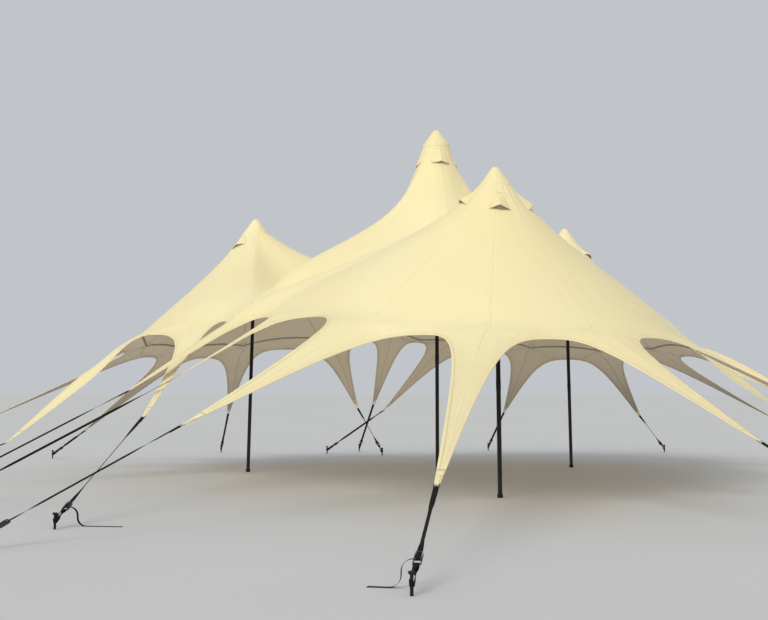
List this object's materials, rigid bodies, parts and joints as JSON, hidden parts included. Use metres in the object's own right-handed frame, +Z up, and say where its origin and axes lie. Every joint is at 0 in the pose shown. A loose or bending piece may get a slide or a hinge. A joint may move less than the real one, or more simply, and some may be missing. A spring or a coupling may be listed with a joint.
{
  "type": "stretch tent, star-shaped, with four poles",
  "caption": "Cream stretch tent with a tall centre peak, lower peaks round it, narrow fabric arms and black straps to ground pegs.",
  "frame": {"origin": "centre of the centre pole's foot, on the ground", "axes": "+Z up; -Y towards the front, where the longest arm points; +X to the right seen from the front"},
  "size_m": [20.1289, 20.278, 6.5],
  "materials": {
    "canopy_fabric": "matte",
    "pole_paint": "satin",
    "strap_webbing": "matte"
  },
  "bodies": {
    "root": {"pole_centre": "pole_paint", "cap_centre": "canopy_fabric", "pole_front": "pole_paint", "cap_front": "canopy_fabric", "pole_right": "pole_paint", "cap_right": "canopy_fabric", "pole_left": "pole_paint", "cap_left": "canopy_fabric", "saddle_front": "canopy_fabric", "panel_front_1": "canopy_fabric", "panel_front_2": "canopy_fabric", "panel_front_3": "canopy_fabric", "saddle_right": "canopy_fabric", "panel_right_1": "canopy_fabric", "panel_right_2": "canopy_fabric", "panel_right_3": "canopy_fabric", "saddle_left": "canopy_fabric", "panel_left_1": "canopy_fabric", "panel_left_2": "canopy_fabric", "panel_left_3": "canopy_fabric", "valley_arm_right": "canopy_fabric", "valley_arm_back": "canopy_fabric", "valley_arm_left": "canopy_fabric", "vent_hood_front_1": "canopy_fabric", "vent_hood_front_2": "canopy_fabric", "vent_hood_front_3": "canopy_fabric", "vent_hood_right_1": "canopy_fabric", "vent_hood_right_2": "canopy_fabric", "vent_hood_right_3": "canopy_fabric", "vent_hood_left_1": "canopy_fabric", "vent_hood_left_2": "canopy_fabric", "vent_hood_left_3": "canopy_fabric", "vent_hood_centre_1": "canopy_fabric", "vent_hood_centre_2": "canopy_fabric", "vent_hood_centre_3": "canopy_fabric", "vent_hood_centre_4": "canopy_fabric", "strap_front_1": "strap_webbing", "strap_front_2": "strap_webbing", "strap_front_3": "strap_webbing", "strap_front_4": "strap_webbing", "strap_front_5": "strap_webbing", "strap_front_6": "strap_webbing", "strap_right_1": "strap_webbing", "strap_right_2": "strap_webbing", "strap_right_3": "strap_webbing", "strap_right_4": "strap_webbing", "strap_right_5": "strap_webbing", "strap_right_6": "strap_webbing", "strap_left_1": "strap_webbing", "strap_left_2": "strap_webbing", "strap_left_3": "strap_webbing", "strap_left_4": "strap_webbing", "strap_left_5": "strap_webbing", "strap_left_6": "strap_webbing", "strap_valley_right": "strap_webbing", "strap_valley_back": "strap_webbing", "strap_valley_left": "strap_webbing", "tail_front_3": "strap_webbing", "tail_left_6": "strap_webbing"}
  },
  "joints": []
}
